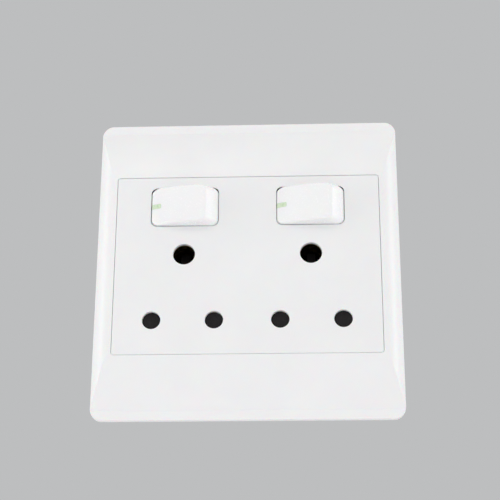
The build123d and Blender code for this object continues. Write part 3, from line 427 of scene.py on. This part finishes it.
def worked_metal(name, tint, dull, gloss, grain, stretch, depth, soft_edge):
    """Rolled, drawn or turned metal; grain, its depth and soft_edge are in mm."""
    # Streaks along the way it was worked stretch the highlights, under an uneven thin film; the
    # real streaks are finer, and are drawn as coarse as they need to show
    material, tree, place = start(name)
    darkening = add(tree, "ShaderNodeTexNoise", {"Scale": per_mm(5), "Detail": 3.0}, {"Vector": place})
    along = add(tree, "ShaderNodeMapping", {"Scale": stretch}, {"Vector": place})
    streaks = add(
        tree, "ShaderNodeTexNoise", {"Scale": per_mm(grain), "Detail": 3.0},
        {"Vector": along.outputs["Vector"]},
    )
    tone = add(
        tree, "ShaderNodeMapRange",
        {"From Min": 0.38, "From Max": 0.68, "To Min": 0.0, "To Max": 1.0},
        {"Value": darkening.outputs["Fac"]},
    )
    paint = add(
        tree, "ShaderNodeMix",
        {"data_type": "RGBA", FIRST: rgba(tint), SECOND: rgba(tint, dull)},
        {FACTOR: tone.outputs["Result"]},
    )
    rough = add(
        tree, "ShaderNodeMapRange",
        {**NOISE_RANGE, "To Min": gloss - 0.08, "To Max": gloss + 0.12},
        {"Value": streaks.outputs["Fac"]},
    )
    edge = add(tree, "ShaderNodeBevel", {"samples": EDGE_SAMPLES, "Radius": soft_edge * MM})
    skin = add(
        tree, "ShaderNodeBump", {"Strength": 1.0, "Distance": depth * MM},
        {"Height": streaks.outputs["Fac"], "Normal": edge.outputs["Normal"]},
    )
    shader = add(
        tree, "ShaderNodeBsdfPrincipled",
        {"Metallic": 1.0},
        {
            "Base Color": paint.outputs[RESULT],
            "Roughness": rough.outputs["Result"],
            "Normal": skin.outputs["Normal"],
        },
    )
    add(tree, "ShaderNodeOutputMaterial", links={"Surface": shader.outputs["BSDF"]})
    return material


def earth_tube_brass(name, tint, painted_tube_shade, mouth):
    """Drawn brass tube with painted shade inside, whose mouth stands at this Y."""
    # Plain bright brass at its mouth; deeper into the tube the colour runs to near-black brown in
    # uneven patches and turns duller, which is painted shade where little light reaches
    material, tree, place = start(name)
    depth = add(tree, "ShaderNodeSeparateXYZ", links={"Vector": place})
    # Painted shade mask: 0 at the mouth, 1 deep inside the tube
    inside = add(
        tree, "ShaderNodeMapRange",
        {
            "From Min": mouth + SHADE_STARTS,
            "From Max": mouth + SHADE_FULL_FROM,
            "To Min": 0.0,
            "To Max": 1.0,
        },
        {"Value": depth.outputs["Y"]},
    )
    cloud = add(
        tree, "ShaderNodeTexNoise", {"Scale": per_mm(2.0), "Detail": 3.0}, {"Vector": place}
    )
    patches = add(
        tree, "ShaderNodeMapRange", {**NOISE_RANGE, "To Min": 0.8, "To Max": 1.2},
        {"Value": cloud.outputs["Fac"]},
    )
    darkening = add(
        tree, "ShaderNodeMath", {"operation": "MULTIPLY", "use_clamp": True},
        {0: inside.outputs["Result"], 1: patches.outputs["Result"]},
    )
    paint = add(
        tree, "ShaderNodeMix", {"data_type": "RGBA", FIRST: rgba(tint), SECOND: rgba(painted_tube_shade)},
        {FACTOR: darkening.outputs[0]},
    )
    rough = add(
        tree, "ShaderNodeMapRange",
        {"From Min": 0.0, "From Max": 1.0, "To Min": 0.3, "To Max": 0.75},
        {"Value": darkening.outputs[0]},
    )
    shader = add(
        tree, "ShaderNodeBsdfPrincipled",
        {"Metallic": 1.0},
        {"Base Color": paint.outputs[RESULT], "Roughness": rough.outputs["Result"]},
    )
    add(tree, "ShaderNodeOutputMaterial", links={"Surface": shader.outputs["BSDF"]})
    return material


def matt_paint(name, tint):
    """Rolled matt paint."""
    # Chalky and even, with a slow drift in tone that only a large floor shows
    material, tree, place = start(name)
    drift = add(
        tree, "ShaderNodeTexNoise", {"Scale": per_mm(400), "Detail": 3.0}, {"Vector": place}
    )
    tone = add(tree, "ShaderNodeMapRange", NOISE_TO_SHARE, {"Value": drift.outputs["Fac"]})
    paint = add(
        tree, "ShaderNodeMix",
        {"data_type": "RGBA", FIRST: rgba(tint, 0.98), SECOND: rgba(tint, 1.02)},
        {FACTOR: tone.outputs["Result"]},
    )
    shader = add(
        tree, "ShaderNodeBsdfPrincipled", {"Roughness": 0.9}, {"Base Color": paint.outputs[RESULT]}
    )
    add(tree, "ShaderNodeOutputMaterial", links={"Surface": shader.outputs["BSDF"]})
    return material


def finish_node(material, *names):
    """Gives CAD nodes a material."""
    for name in names:
        slots = frame["nodes"][name].data.materials
        slots.clear()
        slots.append(material)


def both(stem):
    """A node's name at the left and the right socket."""
    return [f"{stem}_{side}" for side in SIDES]


# Modelling
def deselect():
    """Leaves edit mode and selects nothing."""
    if bpy.context.object and bpy.context.object.mode != "OBJECT":
        bpy.ops.object.mode_set(mode="OBJECT")
    bpy.ops.object.select_all(action="DESELECT")


def only(piece):
    """Selects one piece alone and makes it the active one."""
    deselect()
    piece.select_set(True)
    bpy.context.view_layer.objects.active = piece


def settle(piece):
    """Writes the piece's place into its mesh."""
    only(piece)
    bpy.ops.object.transform_apply(location=True, rotation=True, scale=True)


def spring(name, mean_radius, wire_d, height, turn_count):
    """A compression spring of round wire along Z, from Z = 0 up to its height."""
    deselect()
    bpy.ops.mesh.primitive_circle_add(
        vertices=WIRE_SIDES, radius=wire_d / 2, fill_type="NOTHING",
        location=(mean_radius, 0, wire_d / 2), rotation=(math.pi / 2, 0, 0),
    )
    piece = bpy.context.object
    piece.name = name
    settle(piece)
    bpy.context.scene.cursor.location = (0, 0, 0)
    coil = piece.modifiers.new("Coil", "SCREW")
    coil.axis = "Z"
    coil.angle = math.tau * turn_count
    coil.screw_offset = height - wire_d
    coil.steps = STEPS_PER_TURN * turn_count
    coil.render_steps = STEPS_PER_TURN * turn_count
    coil.use_normal_calculate = True
    bpy.ops.object.modifier_apply(modifier=coil.name)
    # The wire's two open ends are capped
    bpy.ops.object.mode_set(mode="EDIT")
    bpy.ops.mesh.select_all(action="DESELECT")
    bpy.ops.mesh.select_non_manifold()
    bpy.ops.mesh.fill_holes(sides=0)
    bpy.ops.mesh.select_all(action="SELECT")
    bpy.ops.mesh.normals_make_consistent(inside=False)
    bpy.ops.object.mode_set(mode="OBJECT")
    only(piece)
    bpy.ops.object.shade_smooth_by_angle(angle=SMOOTH_BELOW)
    return piece


class SOCKET_OT_stage(bpy.types.Operator):
    """Camera, soft lamps, backdrop and floor."""

    bl_idname = "socket.stage"
    bl_label = "Studio"

    def execute(self, context):
        self.camera()
        self.backdrop()
        self.floor()
        self.lamps()
        context.scene.view_settings.view_transform = "Standard"
        return {"FINISHED"}

    def camera(self):
        values = studio()
        cover_low, cover_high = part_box("cover_frame")
        face_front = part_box("face_moulding")[0].y
        aim = Vector((0, face_front, (cover_low.z + cover_high.z) / 2))
        # The camera looks along +Y with Z up, before it is turned, tilted and rolled
        bench = Matrix(((1, 0, 0), (0, 0, 1), (0, -1, 0)))
        turn = Matrix.Rotation(values.turn, 3, "Y")
        tilt = Matrix.Rotation(-values.tilt, 3, "X")
        roll = Matrix.Rotation(values.roll, 3, "Z")
        to_camera = roll @ tilt @ turn @ bench
        shift = Vector((*FRAMING, -values.distance))
        data = bpy.data.cameras.new("Studio Camera")
        data.lens = values.lens
        data.sensor_width = SENSOR_WIDTH_MM
        data.dof.use_dof = False
        data.clip_start = CAMERA_CLIP
        camera = bpy.data.objects.new("Studio Camera", data)
        bpy.context.scene.collection.objects.link(camera)
        place = to_camera.transposed().to_4x4()
        place.translation = aim - to_camera.transposed() @ shift
        camera.matrix_world = place
        bpy.context.scene.camera = camera

    def backdrop(self):
        # The camera, metal and glass see the grey; the socket is lit by an even white
        world = bpy.data.worlds.new("Soft Studio")
        world.use_nodes = True
        tree = world.node_tree
        tree.nodes.clear()
        rays = add(tree, "ShaderNodeLightPath").outputs
        seen = add(
            tree, "ShaderNodeMath", {"operation": "MAXIMUM"},
            {0: rays["Is Camera Ray"], 1: rays["Is Glossy Ray"]},
        )
        seen = add(
            tree, "ShaderNodeMath", {"operation": "MAXIMUM"},
            {0: seen.outputs[0], 1: rays["Is Transmission Ray"]},
        )
        light = add(
            tree, "ShaderNodeBackground", {"Color": (1, 1, 1, 1), "Strength": studio().ambient}
        )
        grey = add(
            tree, "ShaderNodeBackground", {"Color": rgba(colours().backdrop), "Strength": 1.0}
        )
        mix = add(
            tree, "ShaderNodeMixShader",
            links={
                0: seen.outputs[0],
                1: light.outputs["Background"],
                2: grey.outputs["Background"],
            },
        )
        add(tree, "ShaderNodeOutputWorld", links={"Surface": mix.outputs[0]})
        bpy.context.scene.world = world

    def floor(self):
        deselect()
        bpy.ops.mesh.primitive_plane_add(size=FLOOR_SIZE, location=(0, 0, FLOOR_Z))
        floor = bpy.context.object
        floor.name = "studio_floor"
        settle(floor)
        floor.data.materials.append(matt_paint("Matt Floor Paint", colours().floor))

    def lamps(self):
        values = studio()
        for name, place, (width, height), setting in LAMPS:
            data = bpy.data.lights.new(name, "AREA")
            data.shape = "RECTANGLE"
            data.size = width
            data.size_y = height
            data.energy = getattr(values, setting)
            lamp = bpy.data.objects.new(name, data)
            lamp.location = place
            lamp.rotation_mode = "QUATERNION"
            lamp.rotation_quaternion = Vector(place).to_track_quat("Z", "Y")
            bpy.context.scene.collection.objects.link(lamp)


class SOCKET_OT_white_parts(bpy.types.Operator):
    """White finish of the cover, the face moulding and the rockers, and the green inlays."""

    bl_idname = "socket.white_parts"
    bl_label = "White Mouldings"

    def execute(self, context):
        tints = colours()
        face_tint = scaled(tints.moulding, 0.985)
        cover = white_moulding("White Urea Cover", tints.moulding, gloss=0.34, soft_edge=0.35)
        face = white_moulding("White Urea Face", face_tint, gloss=0.38, soft_edge=0.2)
        rocker = white_moulding(
            "White Polycarbonate Rocker", tints.rocker, gloss=0.24, soft_edge=0.25
        )
        finish_node(cover, "cover_frame")
        finish_node(face, "face_moulding")
        finish_node(rocker, *both("rocker"))
        for side in SIDES:
            low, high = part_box(f"rocker_marker_{side}")
            gate = (low.x + GATE_SHARE * (high.x - low.x), low.y, (low.z + high.z) / 2)
            inlay = green_inlay(
                f"Green Polycarbonate Inlay {side}", tints.marker, tints.marker_core, gate
            )
            finish_node(inlay, f"rocker_marker_{side}")
        return {"FINISHED"}


class SOCKET_OT_inner_parts(bpy.types.Operator):
    """Dark finish of the rear housing, the contact covers and the shutters, and the plungers."""

    bl_idname = "socket.inner_parts"
    bl_label = "Inner Mouldings"

    def execute(self, context):
        tints = colours()
        housing = dark_moulding(
            "Black Phenolic", tints.phenolic, gloss=0.42, fleck_size=0.7, soft_edge=0.3
        )
        decks = dark_moulding(
            "Black Filled Nylon", tints.phenolic, gloss=0.5, fleck_size=0.5, soft_edge=0.2
        )
        shutters = dark_moulding(
            "Grey Acetal", tints.shutter, gloss=0.62, fleck_size=0.5, soft_edge=0.2, shine=0.2
        )
        finish_node(housing, "rear_housing")
        finish_node(decks, *both("contact_cover"))
        finish_node(shutters, *both("shutter"))
        finish_node(natural_nylon("Natural Nylon", tints.nylon), *both("plunger"))
        return {"FINISHED"}


class SOCKET_OT_metal_parts(bpy.types.Operator):
    """Brass, plated steel and spring steel on the metal pieces."""

    bl_idname = "socket.metal_parts"
    bl_label = "Metal Parts"

    def execute(self, context):
        tints = colours()
        pressed = worked_metal(
            "Pressed Brass", tints.brass, dull=0.72, gloss=0.3,
            grain=0.5, stretch=(1, 1, 0.1), depth=0.006, soft_edge=0.12,
        )
        turned = worked_metal(
            "Machined Brass", tints.brass, dull=0.8, gloss=0.26,
            grain=0.35, stretch=(1, 0.1, 1), depth=0.008, soft_edge=0.15,
        )
        plated = worked_metal(
            "Zinc Plated Sheet", tints.zinc, dull=0.8, gloss=0.36,
            grain=0.6, stretch=(0.08, 1, 1), depth=0.006, soft_edge=0.25,
        )
        screw = worked_metal(
            "Zinc Plated Screw", tints.screw, dull=0.78, gloss=0.3,
            grain=0.3, stretch=(1, 0.15, 1), depth=0.006, soft_edge=0.12,
        )
        wire = worked_metal(
            "Spring Wire", tints.wire, dull=0.8, gloss=0.28,
            grain=0.2, stretch=(1, 1, 1), depth=0.002, soft_edge=0.05,
        )
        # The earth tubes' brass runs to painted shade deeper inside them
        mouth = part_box("earth_contact_left")[0].y
        tube = earth_tube_brass("Drawn Brass Tube", tints.brass, tints.painted_tube_shade, mouth)
        finish_node(pressed, "live_link", "neutral_link", "earth_link")
        for stem in ("rocking_contact", "live_contact", "neutral_contact"):
            finish_node(pressed, *both(stem))
        finish_node(tube, *both("earth_contact"))
        finish_node(turned, "live_terminal", "neutral_terminal", "earth_terminal")
        finish_node(plated, "mounting_yoke")
        finish_node(screw, "terminal_screws", "assembly_screws")
        finish_node(wire, *both("plunger_spring"), *both("shutter_spring"))
        return {"FINISHED"}


class SOCKET_OT_springs(bpy.types.Operator):
    """The springs of the shutters and the plungers, coiled from round wire."""

    bl_idname = "socket.springs"
    bl_label = "Springs"

    def execute(self, context):
        self.shutter_springs()
        self.plunger_springs()
        return {"FINISHED"}

    def shutter_springs(self):
        values = sizes()
        for side in SIDES:
            low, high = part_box(f"shutter_spring_{side}")
            middle = (low + high) / 2
            height = high.z - low.z
            radius = (high.x - low.x) / 2 - values.shutter_wire / 2
            piece = spring(
                f"shutter_coil_{side}", radius, values.shutter_wire, height, values.shutter_turns
            )
            piece.location = (middle.x, middle.y, low.z)
            settle(piece)
            piece.data.materials.append(bpy.data.materials["Spring Wire"])
            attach(piece, "socket")
            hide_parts(f"shutter_spring_{side}")
            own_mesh(piece)

    def plunger_springs(self):
        values = sizes()
        joints = {joint["name"]: joint for joint in frame["joints"]}
        for side in SIDES:
            pivot = Vector(joints[f"{side}_rocker_hinge"]["pos_m"])
            inward = Vector(joints[f"{side}_plunger_slide"]["axis"]).normalized()
            foot = pivot - inward * values.plunger_foot
            piece = spring(
                f"plunger_coil_{side}", values.plunger_coil / 2, values.plunger_wire,
                values.plunger_length, values.plunger_turns,
            )
            piece.rotation_mode = "QUATERNION"
            piece.rotation_quaternion = inward.to_track_quat("Z", "Y")
            piece.location = foot
            settle(piece)
            piece.data.materials.append(bpy.data.materials["Spring Wire"])
            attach(piece, f"{side}_rocker")
            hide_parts(f"plunger_spring_{side}")
            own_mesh(piece)


class SOCKET_PT_panel(bpy.types.Panel):
    """Lists the socket's operators and values."""

    bl_idname = "SOCKET_PT_panel"
    bl_label = "Wall Socket"
    bl_space_type = "VIEW_3D"
    bl_region_type = "UI"
    bl_category = "Socket"

    def draw(self, context):
        layout = self.layout
        for kind in OPERATORS:
            layout.operator(kind.bl_idname)
        for values in (colours(), sizes(), studio()):
            box = layout.box()
            for key in values.__annotations__:
                box.prop(values, key)


GROUPS = {
    "socket_colours": SocketColours,
    "socket_sizes": SocketSizes,
    "socket_studio": SocketStudio,
}
OPERATORS = (
    SOCKET_OT_stage,
    SOCKET_OT_white_parts,
    SOCKET_OT_inner_parts,
    SOCKET_OT_metal_parts,
    SOCKET_OT_springs,
)


def register():
    for kind in (*GROUPS.values(), *OPERATORS, SOCKET_PT_panel):
        bpy.utils.register_class(kind)
    for name, group in GROUPS.items():
        setattr(bpy.types.Scene, name, bpy.props.PointerProperty(type=group))


def unregister():
    for name in GROUPS:
        delattr(bpy.types.Scene, name)
    for kind in reversed((*GROUPS.values(), *OPERATORS, SOCKET_PT_panel)):
        bpy.utils.unregister_class(kind)


def main():
    register()
    bpy.ops.socket.stage()
    bpy.ops.socket.white_parts()
    bpy.ops.socket.inner_parts()
    bpy.ops.socket.metal_parts()
    bpy.ops.socket.springs()


if __name__ == "__main__":
    main()
